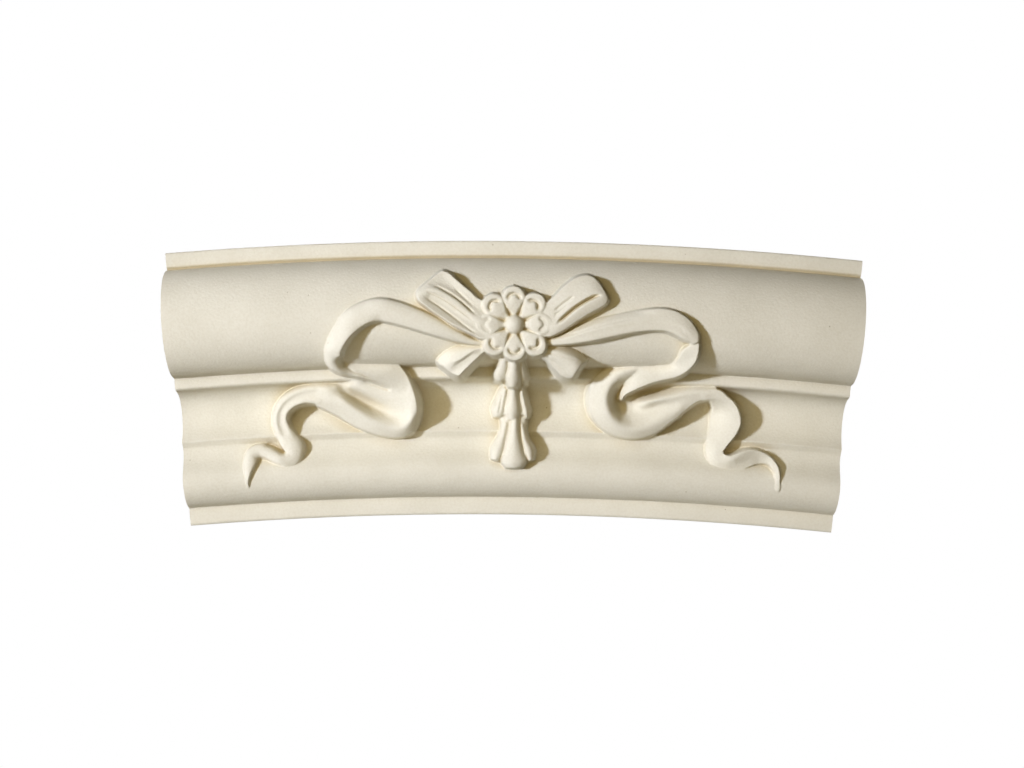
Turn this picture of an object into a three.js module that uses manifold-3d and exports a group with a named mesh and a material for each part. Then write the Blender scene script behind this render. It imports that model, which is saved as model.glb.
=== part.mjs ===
// A segment of a ring-shaped wall moulding, cast in one piece, with a ribbon bow on its face:
// two loops, two tails and two long streamers tied behind a rosette, and a drop of bell-flowers.
// Millimetres. +X runs along the moulding, +Z is towards its outer edge, and it faces -Y.
// The origin is on the flat back, halfway across the face and halfway along.
import * as THREE from 'three';
import { mergeVertices } from 'three/addons/utils/BufferGeometryUtils.js';
import Module from 'manifold-3d';

const wasm = await Module();
wasm.setup();

// Overall sizes of the segment.
const outerRadius = 3270;
const outerChord = 600;
const arcSteps = 12;

// Members of the profile, from the outer edge inwards. Each height is above the flat back, and a
// pull is how far a curve's controls lie along it, as shares of its width or its height.
const outerBand = { width: 13.8, height: 28, rounding: 1.5 };
const quirk = { width: 1.2, height: 25 };
const torus = { width: 92.8, rise: 41, outerHeight: 25, innerHeight: 33, steps: 18 };
const fillet = { width: 10.2, height: 33, rounding: 2 };
const cavetto = { width: 23, floor: 11, steps: 7, pull: [0.1, 0.75, 0.5] };
const flare = { width: 22.7, height: 22, steps: 5, pull: [0.4, 0.25, 0.5] };
const step = { width: 5.1, height: 18.5 };
const ovolo = {
  width: 51.8, rise: 14, crestShare: 0.58, footHeight: 14.5, steps: 12,
  pull: [0.5, 0.6], footPull: [0.5, 0.1],
};
const innerBand = { width: 15.9, height: 13, rounding: 1.5 };

// The bow. Its strips are drawn for a bow of drawnWidth and stretch with its width.
const drawnWidth = 470;
const bow = { width: 470, along: 1, below: 73.5, lift: 1, draftDegrees: 6, rootShare: 0.45 };
const insideTurnShare = 0.85;
const buriedEndShare = 0.9;
const straightTurn = 0.01;
const topShares = [-1, -0.55, 0, 0.55, 1];
const sliver = 0.03;
const weld = 0.001;

// The rosette's sizes are across the face, and its heights are above the torus's crest.
const rosette = {
  petals: 8, radius: 31.5, innerRadius: 7, petalHalfWidth: 9.6, height: 10.5, dish: 2.6,
  bossRadius: 8.4, bossHeight: 14.5, bedRadius: 23, bedHeight: 4, sides: 20, rings: 8,
  turnDegrees: -1.5, everyOtherLower: 0.6, endDrop: 1.6,
};
const petalShares = [0, 0.25, 0.5, 0.72, 0.88, 0.97, 1];
const petal = { widest: 0.72, rootWidth: 0.3, endWidth: 0.35 };

// Each tier of bell-flowers hangs from the one above: its top, its foot, the heights there
// above the back, the half width of its middle lobe and the spread of its side lobes.
const lobe = {
  shares: [0, 0.3, 0.6, 0.85, 1], widest: 0.85, rootWidth: 0.55, endWidth: 0.5, crown: 3,
  sideWidth: 0.8, sideLower: 3, rootSpread: 0.35,
};
const bells = [
  { top: -25, foot: -51, topHeight: 68, footHeight: 54, halfWidth: 6, spread: 10, sideRise: 8 },
  { top: -48, foot: -80, topHeight: 38, footHeight: 34, halfWidth: 7.4, spread: 12, sideRise: 3 },
  { top: -78, foot: -122, topHeight: 32, footHeight: 41, halfWidth: 10.2, spread: 14, sideRise: 6 },
];

const members = { outerBand, quirk, torus, fillet, cavetto, flare, step, ovolo, innerBand };
const faceWidth = Object.values(members).reduce((sum, member) => sum + member.width, 0);
const middleRadius = outerRadius - faceWidth / 2;
const halfAngle = Math.asin(outerChord / 2 / outerRadius);
const stretch = bow.width / drawnWidth;
const rootHeight = bow.rootShare * cavetto.floor;

// A swelling from one height to another: half an ellipse over the line that joins its ends.
function swell(start, member) {
  const points = [];
  for (let i = 0; i <= member.steps; i += 1) {
    const angle = Math.PI * (1 - i / member.steps);
    const share = (1 + Math.cos(angle)) / 2;
    const base = THREE.MathUtils.lerp(member.outerHeight, member.innerHeight, share);
    points.push([start + member.width * share, base + member.rise * Math.sin(angle)]);
  }
  return points;
}

// A curve from one point to another that leaves and arrives along the given control points.
function bend(from, controlA, controlB, to, steps) {
  const curve = new THREE.CubicBezierCurve(
    new THREE.Vector2(...from), new THREE.Vector2(...controlA),
    new THREE.Vector2(...controlB), new THREE.Vector2(...to),
  );
  return curve.getPoints(steps).map((point) => [point.x, point.y]);
}

// The face's outline, as [distance in from the outer edge, height above the back].
function faceOutline() {
  const start = {};
  let inward = 0;
  for (const [name, member] of Object.entries(members)) {
    start[name] = inward;
    inward += member.width;
  }
  const lip = fillet.height - fillet.rounding;
  const lipEnd = start.cavetto + fillet.rounding;
  const [lipAlong, lipDown, floorAlong] = cavetto.pull;
  const [flareStart, flareEnd, flareRise] = flare.pull;
  const crest = start.ovolo + ovolo.crestShare * ovolo.width;
  const crestHeight = step.height + ovolo.rise;
  const outerHalf = crest - start.ovolo;
  const innerHalf = start.innerBand - crest;
  return [
    [0, outerBand.height - outerBand.rounding],
    [outerBand.rounding, outerBand.height],
    [start.quirk - outerBand.rounding, outerBand.height],
    [start.quirk, outerBand.height - outerBand.rounding],
    [start.quirk, quirk.height],
    ...swell(start.torus, torus),
    [start.fillet + fillet.width, fillet.height],
    ...bend(
      [lipEnd, lip],
      [lipEnd + lipAlong * cavetto.width, THREE.MathUtils.lerp(lip, cavetto.floor, lipDown)],
      [start.cavetto + floorAlong * cavetto.width, cavetto.floor],
      [start.flare, cavetto.floor],
      cavetto.steps,
    ),
    ...bend(
      [start.flare, cavetto.floor],
      [start.flare + flareStart * flare.width, cavetto.floor],
      [start.step - flareEnd * flare.width, THREE.MathUtils.lerp(cavetto.floor, flare.height, flareRise)],
      [start.step, flare.height],
      flare.steps,
    ).slice(1),
    ...bend(
      [start.ovolo, step.height],
      [start.ovolo + ovolo.pull[0] * outerHalf, step.height],
      [start.ovolo + ovolo.pull[1] * outerHalf, crestHeight],
      [crest, crestHeight],
      ovolo.steps / 2,
    ),
    ...bend(
      [crest, crestHeight],
      [crest + ovolo.footPull[0] * innerHalf, crestHeight],
      [start.innerBand - ovolo.footPull[1] * innerHalf, (crestHeight + ovolo.footHeight) / 2],
      [start.innerBand, ovolo.footHeight],
      ovolo.steps / 2,
    ).slice(1),
    [start.innerBand, innerBand.height],
    [faceWidth - innerBand.rounding, innerBand.height],
    [faceWidth, innerBand.height - innerBand.rounding],
  ];
}

const outline = faceOutline();

// The height of the plain face at a place so far up from the middle radius.
function faceHeight(up) {
  const inward = THREE.MathUtils.clamp(faceWidth / 2 - up, 0, faceWidth);
  const next = Math.max(1, outline.findIndex((point) => point[0] >= inward));
  const [x0, y0] = outline[next - 1];
  const [x1, y1] = outline[next];
  return x1 === x0 ? y1 : THREE.MathUtils.mapLinear(inward, x0, x1, y0, y1);
}

// Wraps a shape drawn flat, along x, up y and proud z, round the middle radius.
function wrap(geometry) {
  const position = geometry.getAttribute('position');
  for (let i = 0; i < position.count; i += 1) {
    const angle = position.getX(i) / middleRadius;
    const radius = middleRadius + position.getY(i);
    const height = position.getZ(i);
    position.setXYZ(i, radius * Math.sin(angle), -height, radius * Math.cos(angle) - middleRadius);
  }
  return geometry;
}

// A closed three.js geometry as a solid that can be joined to others.
function toSolid(geometry) {
  geometry.deleteAttribute('normal');
  geometry.deleteAttribute('uv');
  const merged = mergeVertices(geometry, weld);
  return new wasm.Manifold(new wasm.Mesh({
    numProp: 3,
    vertProperties: Float32Array.from(merged.getAttribute('position').array),
    triVerts: Uint32Array.from(merged.getIndex().array),
  }));
}

// A joined solid as a three.js geometry again.
function toGeometry(manifold) {
  const mesh = manifold.getMesh();
  const geometry = new THREE.BufferGeometry();
  geometry.setAttribute('position', new THREE.Float32BufferAttribute(mesh.vertProperties, 3));
  geometry.setIndex(Array.from(mesh.triVerts));
  return geometry;
}

// The plain moulding: its outline run along the arc, with a flat back and square ends.
function plainMoulding() {
  const points = outline.map(([inward, height]) => new THREE.Vector2(faceWidth / 2 - inward, height));
  const shape = new THREE.Shape([
    new THREE.Vector2(faceWidth / 2, 0), ...points, new THREE.Vector2(-faceWidth / 2, 0),
  ]);
  const length = 2 * halfAngle * middleRadius;
  const run = new THREE.ExtrudeGeometry(shape, { depth: length, steps: arcSteps, bevelEnabled: false });
  const toFace = new THREE.Matrix4().set(0, 0, 1, -length / 2, 1, 0, 0, 0, 0, 1, 0, 0, 0, 0, 0, 1);
  return toSolid(wrap(run.applyMatrix4(toFace)));
}

// The triangles that fill a cross-section, which stands upright across its strip. They turn
// the same way as triangle 0, 1, 2 of a section that is listed left foot, right foot, right edge.
function fill(section) {
  const across = section[1].clone().sub(section[0]).setZ(0).normalize();
  const flat = section.map((point) => new THREE.Vector2(point.dot(across), point.z));
  return THREE.ShapeUtils.triangulateShape(flat, []).map(([a, b, c]) => {
    const area = flat[b].clone().sub(flat[a]).cross(flat[c].clone().sub(flat[a]));
    return area > 0 ? [a, b, c] : [a, c, b];
  });
}

// The closed solid that runs through cross-sections of the same point count.
function loft(sections) {
  const count = sections[0].length;
  const last = (sections.length - 1) * count;
  const corners = sections.flat().flatMap((point) => point.toArray());
  const faces = [];
  for (let start = 0; start < last; start += count) {
    for (let i = 0; i < count; i += 1) {
      const a = start + i;
      const b = start + ((i + 1) % count);
      faces.push(a, b + count, b, a, a + count, b + count);
    }
  }
  for (const [a, b, c] of fill(sections[0])) {
    faces.push(a, b, c);
  }
  for (const [a, b, c] of fill(sections.at(-1))) {
    faces.push(last + a, last + c, last + b);
  }
  const geometry = new THREE.BufferGeometry();
  geometry.setAttribute('position', new THREE.Float32BufferAttribute(corners, 3));
  geometry.setIndex(faces);
  return toSolid(geometry);
}

// A strip of ribbon, a petal or a lobe. Its stations run along its middle line, from the bow's
// centre, as [along, up, half width, height above the back, tilt, crown]. The tilt raises its
// left edge, looking along it, and the crown raises its middle above its edges, or dishes it.
// On the inside of a tight turn it is no wider than the turn leaves room for. Where it folds
// over itself it is made in two runs, which part at the station named by fold.
function strip(stations, stepsPerStation, fold = 0) {
  const path = new THREE.CatmullRomCurve3(stations.map(([x, y, , z]) => new THREE.Vector3(x, y, z)));
  const form = new THREE.CatmullRomCurve3(
    stations.map(([, , half, , tilt, crown]) => new THREE.Vector3(half, tilt, crown)),
    false, 'catmullrom', 0.5,
  );
  const draft = Math.tan(THREE.MathUtils.degToRad(bow.draftDegrees));
  const count = (stations.length - 1) * stepsPerStation;
  const centres = [];
  const bearings = [];
  for (let i = 0; i <= count; i += 1) {
    const tangent = path.getTangent(i / count);
    centres.push(path.getPoint(i / count));
    bearings.push(Math.atan2(tangent.y, tangent.x));
  }
  const room = (i, side) => {
    const gaps = [Math.max(0, i - 1), Math.min(count - 1, i)].map((gap) => {
      const turn = side * (bearings[gap + 1] - bearings[gap]);
      const leftTurn = Math.atan2(Math.sin(turn), Math.cos(turn));
      const length = Math.hypot(centres[gap + 1].x - centres[gap].x, centres[gap + 1].y - centres[gap].y);
      return leftTurn > straightTurn ? length / leftTurn : Infinity;
    });
    return Math.min(...gaps);
  };
  const section = (i, shrink) => {
    const centre = centres[i];
    const left = new THREE.Vector2(-Math.sin(bearings[i]), Math.cos(bearings[i]));
    const { x: half, y: tilt, z: crown } = form.getPoint(i / count);
    const at = (share) => {
      const reach = share * Math.min(half, insideTurnShare * room(i, Math.sign(share))) * shrink;
      const height = centre.z + tilt * share + crown * (1 - share * share) - (1 - shrink) * half;
      return new THREE.Vector3(centre.x + left.x * reach, centre.y + left.y * reach, height);
    };
    const foot = (edge, side) => {
      const spare = Math.max(0, room(i, side) * (1 - insideTurnShare) / 2);
      const flare = Math.min(spare, Math.max(0, draft * (edge.z - faceHeight(edge.y))));
      return new THREE.Vector3(edge.x + side * left.x * flare, edge.y + side * left.y * flare, rootHeight);
    };
    const top = topShares.map(at);
    return [foot(top.at(-1), 1), foot(top[0], -1), ...top];
  };
  const run = (from, to) => {
    const sections = [];
    for (let i = from; i <= to; i += 1) {
      const buried = (i === from && from > 0) || (i === to && to < count);
      sections.push(section(i, buried ? buriedEndShare : 1));
    }
    return loft(sections);
  };
  const parting = fold * stepsPerStation;
  return fold ? [run(0, parting + 1), run(parting - 1, count)] : [run(0, count)];
}

// Places a strip's stations on the face. Its heights are given as lifts off the plain face.
function onFace(stations) {
  return stations.map(([along, up, half, lift, tilt, crown]) => {
    const x = bow.along + along * stretch;
    const y = faceWidth / 2 - bow.below + up * stretch;
    return [x, y, half * stretch, faceHeight(y) + lift * bow.lift, tilt, crown];
  });
}

const stepsPerStation = { streamer: 3, loop: 2, tail: 2 };

// The left streamer: out over the torus, round and back, twice across the hollow, to a curled tip.
const leftStreamer = [
  [-8, -9, 3.5, 7, 0, 1.5],
  [-51, -5, 6, 8, 0, 1.5],
  [-95, 9, 9.5, 9, 0, 2],
  [-121, 12, 9.5, 9, -1, 2],
  [-142, -1, 8.5, 8, -3, 2],
  [-151, -19, 7, 8, -4, 2],
  [-147, -31, 6.5, 14, -3, 2],
  [-122, -37, 9.5, 13, -2, 1],
  [-101, -44, 10.5, 12, -1, 1],
  [-89, -56, 10, 25, 0, 1],
  [-91, -70, 13, 24, 0, 0],
  [-109, -73, 19.5, 22, 1, -3],
  [-134, -62, 16, 21, 0, -3],
  [-157, -54, 9, 19, 0, -1],
  [-181, -54, 7.5, 18, 1, 0],
  [-200, -68, 7.5, 18, 2, 0],
  [-202, -83, 7.5, 11, 2, 0],
  [-194, -100, 8, 7, 1, 1],
  [-201, -109, 8, 4, 0, 1],
  [-215, -103, 7.5, 4, 0, 1],
  [-229, -105, 6, 4, 1, 1],
  [-234, -118, 3.5, 3, 1, 0.5],
  [-232, -131, 0.8, 1.5, 0, 0],
];

// The left streamer folds over itself at this station.
const leftFold = 9;

// The right streamer. It is the left one's partner, but each was modelled by hand.
const rightStreamer = [
  [8, -10, 3.5, 7, 0, 1.5],
  [49, -9, 7, 9, 0, 1.5],
  [95, 3, 8.5, 9, 0, 2],
  [124, 6, 8.5, 9, 0, 2],
  [143, -4, 7.5, 9, 0, 2],
  [146, -17, 6.5, 10, 0, 2],
  [134, -33, 8, 15, 0, 2],
  [107, -39, 11, 12, 1, 0],
  [83, -49, 14, 20, 0, -3],
  [77, -63, 14, 24, 0, -3],
  [84, -77, 14.5, 21, 0, -3],
  [104, -80, 16, 19, 0, -3],
  [129, -69, 11.5, 22, 0, -2],
  [155, -54, 7, 21, 0, 0],
  [175, -52, 7, 19, 0, 1],
  [184, -63, 10.5, 22, -1, 1],
  [181, -82, 11.5, 15, -1, 1],
  [175, -98, 8, 8, 0, 1],
  [185, -110, 6.5, 3, 0, 1],
  [204, -103, 8, 5, 0, 1],
  [221, -101, 6, 6, 0, 1],
  [229, -115, 3.2, 4, 0, 0.5],
  [234, -129, 0.8, 1, 0, 0],
];

// Each upper loop is a turned-over lip in front of the strip that runs back behind it.
const leftLoop = {
  lip: [
    [-18, -4, 7, 8, 0, -1], [-34, 3, 10, 10, 0, -2.5], [-54, 14, 11, 11, 0, -3], [-69, 23, 9, 12, 0, -2],
    [-77, 27, 4.5, 12, 0, 0],
  ],
  back: [[-20, 12, 7, 8, 0, 1], [-42, 24, 8, 9, 0, 1], [-62, 34, 9.5, 14, 0, 1], [-69, 36, 9.5, 14, 0, 0]],
};
const rightLoop = {
  lip: [
    [20, -4, 5, 8, 0, 1], [40, 6, 6.5, 10, 0, 1], [58, 17, 7.5, 12, 0, 1], [70, 26, 7, 12, 0, 1],
    [74, 29, 4.5, 12, 0, 0],
  ],
  back: [[20, 10, 8, 8, 0, -1], [40, 24, 9, 11, 0, 1], [57, 33, 10, 15, 0, 1], [66, 35, 8.5, 14, 0, 0]],
};

// The short tails under the rosette, each folded along its middle, and cut off square.
const leftTail = [[-18, -13, 4, 8, 0, -1], [-36, -23, 9, 9, 0, -2.5], [-57, -36, 12.5, 25, 0, -3.5]];
const rightTail = [[18, -14, 4, 8, 0, 1], [36, -23, 9, 8, 0, 2], [57, -34, 13, 22, 0, 3]];

// The rosette: spoon-shaped petals round a boss, on a round bed.
function rosetteSolids() {
  const x0 = bow.along;
  const y0 = faceWidth / 2 - bow.below;
  const crest = faceHeight(y0);
  const solids = [];
  for (let i = 0; i < rosette.petals; i += 1) {
    const angle = (2 * Math.PI * i) / rosette.petals + THREE.MathUtils.degToRad(rosette.turnDegrees);
    const height = crest + rosette.height - (i % 2) * rosette.everyOtherLower;
    const stations = petalShares.map((share) => {
      const radius = THREE.MathUtils.lerp(rosette.innerRadius, rosette.radius, share);
      const past = Math.max(0, (share - petal.widest) / (1 - petal.widest));
      const narrowing = share < petal.widest
        ? THREE.MathUtils.lerp(petal.rootWidth, 1, share / petal.widest)
        : Math.max(petal.endWidth, Math.sqrt(1 - past ** 2));
      const swelling = Math.sin(Math.PI * share);
      return [
        x0 + radius * Math.sin(angle), y0 + radius * Math.cos(angle), rosette.petalHalfWidth * narrowing,
        height - rosette.endDrop * (1 - swelling), 0, -rosette.dish * swelling,
      ];
    });
    solids.push(...strip(stations, 1));
  }
  const place = (geometry, height) => toSolid(geometry.translate(x0, y0, height));
  const boss = new THREE.SphereGeometry(rosette.bossRadius, rosette.sides, rosette.rings);
  const bossBase = crest + rosette.bossHeight - rosette.bossRadius;
  const bedHeight = crest + rosette.bedHeight - rootHeight;
  const bed = new THREE.CylinderGeometry(rosette.bedRadius, rosette.bedRadius, bedHeight, rosette.sides);
  bed.rotateX(Math.PI / 2);
  return [...solids, place(boss, bossBase), place(bed, rootHeight + bedHeight / 2)];
}

// The drop of bell-flowers: in each tier one lobe in the middle and one to each side of it.
function bellSolids() {
  const x0 = bow.along;
  const y0 = faceWidth / 2 - bow.below;
  const solids = [];
  for (const tier of bells) {
    for (const side of [-1, 0, 1]) {
      const foot = tier.foot + Math.abs(side) * tier.sideRise;
      const end = x0 + side * tier.spread;
      const top = x0 + side * lobe.rootSpread * tier.spread;
      const stations = lobe.shares.map((share) => {
        const swelling = share < lobe.widest
          ? THREE.MathUtils.lerp(lobe.rootWidth, 1, share / lobe.widest)
          : THREE.MathUtils.mapLinear(share, lobe.widest, 1, 1, lobe.endWidth);
        return [
          THREE.MathUtils.lerp(top, end, share),
          y0 + THREE.MathUtils.lerp(tier.top, foot, share) * stretch,
          tier.halfWidth * swelling * (side ? lobe.sideWidth : 1),
          THREE.MathUtils.lerp(tier.topHeight, tier.footHeight, share) - Math.abs(side) * lobe.sideLower,
          0, lobe.crown,
        ];
      });
      solids.push(...strip(stations, 1));
    }
  }
  return solids;
}

// The whole casting. The slivers that rounding leaves at the joins are smoothed or dropped.
function mouldingSolid() {
  const loopStrips = [leftLoop.back, leftLoop.lip, rightLoop.back, rightLoop.lip];
  const strips = [
    ...strip(onFace(leftStreamer), stepsPerStation.streamer, leftFold),
    ...strip(onFace(rightStreamer), stepsPerStation.streamer),
    ...loopStrips.flatMap((part) => strip(onFace(part), stepsPerStation.loop)),
    ...[leftTail, rightTail].flatMap((tail) => strip(onFace(tail), stepsPerStation.tail)),
  ];
  const relief = wasm.Manifold.union([...strips, ...rosetteSolids(), ...bellSolids()]);
  const whole = plainMoulding().add(toSolid(wrap(toGeometry(relief)))).simplify(sliver);
  return toSolid(toGeometry(whole)).decompose().reduce((a, b) => (b.volume() > a.volume() ? b : a));
}

const casting = new THREE.MeshStandardMaterial({ color: 0xe6dfc8, roughness: 0.8, metalness: 0 });
const geometry = toGeometry(mouldingSolid());
geometry.computeVertexNormals();
const moulding = new THREE.Mesh(geometry, casting);
moulding.name = 'curved_moulding';

const part = new THREE.Group();
part.add(moulding);

export default part;
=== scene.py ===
# A segment of a curved wall moulding, cast in one piece, with a ribbon bow, a rosette and a drop
# of bell-flowers in relief on its face. The face is drawn flat as heights above the flat back,
# in millimetres, and wrapped round the ring afterwards.
import math

import bpy
import numpy as np
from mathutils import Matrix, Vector


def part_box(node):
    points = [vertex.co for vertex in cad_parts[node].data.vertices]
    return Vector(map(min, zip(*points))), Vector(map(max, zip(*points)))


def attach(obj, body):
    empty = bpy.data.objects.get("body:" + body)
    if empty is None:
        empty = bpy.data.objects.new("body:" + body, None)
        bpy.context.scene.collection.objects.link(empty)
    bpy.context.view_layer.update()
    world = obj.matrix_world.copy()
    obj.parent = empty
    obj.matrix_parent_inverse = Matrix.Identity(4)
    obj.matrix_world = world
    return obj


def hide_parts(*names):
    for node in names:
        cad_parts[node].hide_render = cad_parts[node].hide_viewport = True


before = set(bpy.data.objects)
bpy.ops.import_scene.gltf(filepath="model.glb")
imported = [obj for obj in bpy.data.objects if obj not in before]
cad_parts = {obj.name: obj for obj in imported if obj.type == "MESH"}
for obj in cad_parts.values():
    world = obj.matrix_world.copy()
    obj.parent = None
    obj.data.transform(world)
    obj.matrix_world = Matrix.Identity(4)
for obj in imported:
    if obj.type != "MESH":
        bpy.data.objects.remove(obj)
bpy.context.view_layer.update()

MM = 0.001
BODY = "root"
NODE = "curved_moulding"

# The segment, worked out from the frame's box and the ring's radius.
box_low, box_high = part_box(NODE)
CHORD = (box_high[0] - box_low[0]) / MM
FACE_WIDTH = 2 * box_high[2] / MM
OUTER_RADIUS = 3270.0
MIDDLE_RADIUS = OUTER_RADIUS - FACE_WIDTH / 2
RUN_LENGTH = 2 * MIDDLE_RADIUS * math.asin(CHORD / 2 / OUTER_RADIUS)

# Members of the profile, from the outer edge inwards: widths, and heights above the back.
OUTER_BAND = {"width": 13.8, "height": 28.0, "rounding": 1.5}
QUIRK = {"width": 1.2, "height": 25.0}
TORUS = {"width": 92.8, "rise": 41.0, "outer_height": 25.0, "inner_height": 33.0}
FILLET = {"width": 10.2, "height": 33.0, "rounding": 2.0}
CAVETTO = {"width": 23.0, "floor": 11.0}
FLARE = {"width": 22.7, "height": 22.0}
STEP = {"width": 5.1, "height": 18.5}
OVOLO = {"width": 51.8, "rise": 14.0, "crest_share": 0.58, "foot_height": 14.5}
INNER_BAND = {"width": 15.9, "height": 13.0, "rounding": 1.5}
CURVE_STEPS = 48

# The bow's centre, below the outer edge and beside the middle.
BOW_BELOW = 73.5
BOW_ALONG = 1.0

# How the relief is laid, in millimetres: how steeply its sides fall, how finely its paths are
# stepped, and how far beyond its edges it is worked out. A sheet bends over the beads of its
# threads like a thin plate of this scale, with a little ease. A groove reaches so many of its
# half widths to each side, and fades at each end over one part in so many of its length. The
# whole is softened at the end.
WALL_SLOPE = 8.0
PATH_STEP = 1.2
LEAST_HALF_WIDTH = 0.3
STRIP_MARGIN = 14.0
SHEET_MARGIN = 8.0
SHEET_SCALE = 20.0
SHEET_EASE = 0.004
BEAD_GAP = 3.0
GROOVE_REACH = 3.5
GROOVE_FADE = 5
SOFTENING = 0.5

# The mesh: the grid's cell, its triangles at most, and the angle in degrees of a sharp edge.
CELL = 0.55
MOST_TRIANGLES = 188000
SHARP_ANGLE = 55

# The camera, the floor below the picture and the light from the surround. Places are in metres,
# the roll in degrees, and the lens and its sensor in millimetres.
CAMERA = {"place": (-0.0005, -1.528, -0.0048), "roll": -0.62, "lens": 61.3, "sensor_width": 36}
FLOOR = {"radius": 0.9, "below": 0.62, "colour": (0.8, 0.8, 0.78, 1)}
SURROUND = {"colour": (1.0, 0.84, 0.47, 1), "strength": 0.02}

# The key light's direction and distance from the piece.
KEY_DIRECTION = (-0.70, -0.70, 0.09)
KEY_DISTANCE = 5.0


def cubic(start, control_a, control_b, end, steps):
    """Points of a cubic curve that leaves and arrives along its two controls."""
    share = np.linspace(0, 1, steps + 1)[:, None]
    points = [np.array(point, float) for point in (start, control_a, control_b, end)]
    weights = (
        (1 - share) ** 3, 3 * share * (1 - share) ** 2, 3 * share ** 2 * (1 - share), share ** 3)
    return sum(weight * point for weight, point in zip(weights, points))


def face_outline():
    """The plain face, as [distance in from the outer edge, height above the back]."""
    members = (OUTER_BAND, QUIRK, TORUS, FILLET, CAVETTO, FLARE, STEP, OVOLO, INNER_BAND)
    ends = np.cumsum([0.0] + [member["width"] for member in members])
    quirk, torus, fillet, cavetto, flare, step, ovolo, inner_band, edge = ends[1:]
    turn = np.linspace(0, math.pi, CURVE_STEPS)
    share = (1 - np.cos(turn)) / 2
    base = TORUS["outer_height"] + share * (TORUS["inner_height"] - TORUS["outer_height"])
    swell = np.column_stack([torus + share * TORUS["width"], base + TORUS["rise"] * np.sin(turn)])
    lip = FILLET["height"] - FILLET["rounding"]
    floor = CAVETTO["floor"]
    crest = ovolo + OVOLO["crest_share"] * OVOLO["width"]
    crest_height = STEP["height"] + OVOLO["rise"]
    rounding = OUTER_BAND["rounding"]
    hollow = cubic(
        (cavetto + 1, lip), (cavetto + 1 + 0.1 * CAVETTO["width"], lip - 0.75 * (lip - floor)),
        (cavetto + 0.5 * CAVETTO["width"], floor), (flare, floor), CURVE_STEPS)
    rising = cubic(
        (flare, floor), (flare + 0.4 * FLARE["width"], floor),
        (step - 0.25 * FLARE["width"], 0.5 * (floor + FLARE["height"])),
        (step, FLARE["height"]), CURVE_STEPS)
    to_crest = cubic(
        (ovolo, STEP["height"]), (ovolo + 0.5 * (crest - ovolo), STEP["height"]),
        (ovolo + 0.6 * (crest - ovolo), crest_height), (crest, crest_height), CURVE_STEPS)
    from_crest = cubic(
        (crest, crest_height), (crest + 0.5 * (inner_band - crest), crest_height),
        (inner_band - 0.1 * (inner_band - crest), 0.5 * (crest_height + OVOLO["foot_height"])),
        (inner_band, OVOLO["foot_height"]), CURVE_STEPS)
    return np.vstack([
        (0, OUTER_BAND["height"] - rounding),
        (0.3 * rounding, OUTER_BAND["height"] - 0.3 * rounding),
        (rounding, OUTER_BAND["height"]), (quirk - rounding, OUTER_BAND["height"]),
        (quirk, OUTER_BAND["height"] - rounding), (quirk, QUIRK["height"]),
        swell, (cavetto - 1, FILLET["height"]), hollow, rising, to_crest, from_crest,
        (inner_band, INNER_BAND["height"]), (edge - INNER_BAND["rounding"], INNER_BAND["height"]),
        (edge - 0.3 * INNER_BAND["rounding"], INNER_BAND["height"] - 0.3 * INNER_BAND["rounding"]),
        (edge, INNER_BAND["height"] - INNER_BAND["rounding"])])


OUTLINE = face_outline()

# The face's grid. Columns run along the moulding and rows run from its outer edge inwards.
COLUMNS = int(RUN_LENGTH / CELL) + 1
ROWS = int(FACE_WIDTH / CELL) + 1
ALONG = np.linspace(-RUN_LENGTH / 2, RUN_LENGTH / 2, COLUMNS)
UP = np.linspace(FACE_WIDTH / 2, -FACE_WIDTH / 2, ROWS)
BOW_UP = FACE_WIDTH / 2 - BOW_BELOW


def ground(up):
    """The plain face's height at places so far up from the middle radius."""
    return np.interp(FACE_WIDTH / 2 - np.asarray(up, float), OUTLINE[:, 0], OUTLINE[:, 1])


def through(knots, values, places):
    """A smooth curve through values at knots, read at places, as columns."""
    values = np.asarray(values, float)
    gaps = np.diff(knots)
    slopes = np.diff(values, axis=0) / gaps[:, None]
    before, after = gaps[:-1, None], gaps[1:, None]
    inner = (slopes[:-1] * after + slopes[1:] * before) / (before + after)
    tangents = np.vstack([slopes[:1], inner, slopes[-1:]])
    i = np.clip(np.searchsorted(knots, places, "right") - 1, 0, len(gaps) - 1)
    gap = gaps[i][:, None]
    t = ((places - knots[i]) / gaps[i])[:, None]
    rise, spread = t * t * (3 - 2 * t), t * (1 - t)
    return (values[i] * (1 - rise) + values[i + 1] * rise
            + gap * spread * (tangents[i] * (1 - t) - tangents[i + 1] * t))


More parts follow.
